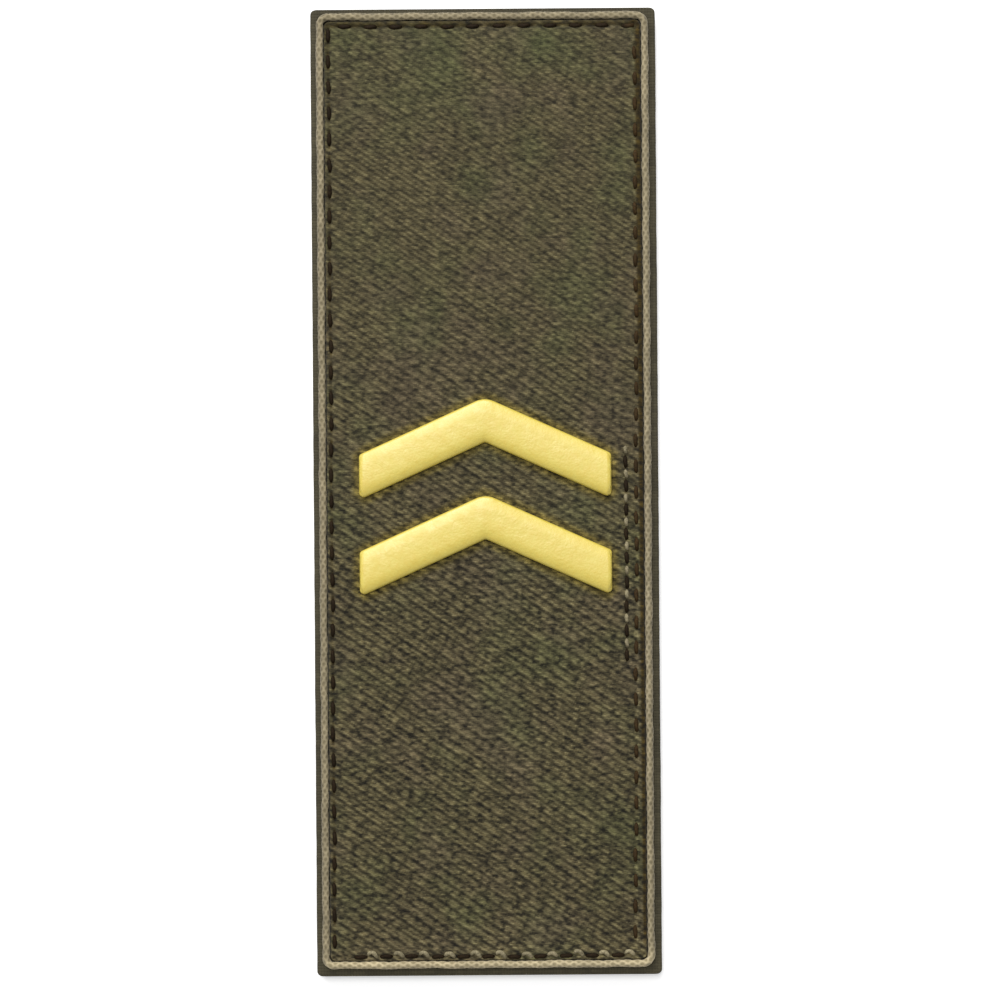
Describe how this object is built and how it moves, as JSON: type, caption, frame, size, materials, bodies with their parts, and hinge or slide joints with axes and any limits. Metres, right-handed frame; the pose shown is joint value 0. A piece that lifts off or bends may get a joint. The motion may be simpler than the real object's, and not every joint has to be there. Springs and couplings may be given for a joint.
{
  "type": "rank insignia patch",
  "caption": "Long rectangular cloth shoulder insignia: a seamed olive face with raised yellow chevrons, a khaki edge cord and a hook tape back.",
  "frame": {"origin": "centre of the patch at the flat underside of its hook field", "axes": "+X across the patch, +Y along it towards the end that the chevrons point to, +Z out of its face"},
  "size_m": [0.05, 0.14, 0.0042],
  "materials": {
    "olive_twill": "matt olive twill",
    "khaki_cord": "braided khaki cord",
    "olive_tape": "woven olive hook tape",
    "yellow_plastic": "soft satin moulded plastic",
    "dark_thread": "dark brown sewing thread"
  },
  "bodies": {
    "root": {"hook_tape": "olive_tape", "face_cloth": "olive_twill", "edge_cord": "khaki_cord", "chevron_upper": "yellow_plastic", "chevron_lower": "yellow_plastic"}
  },
  "joints": []
}
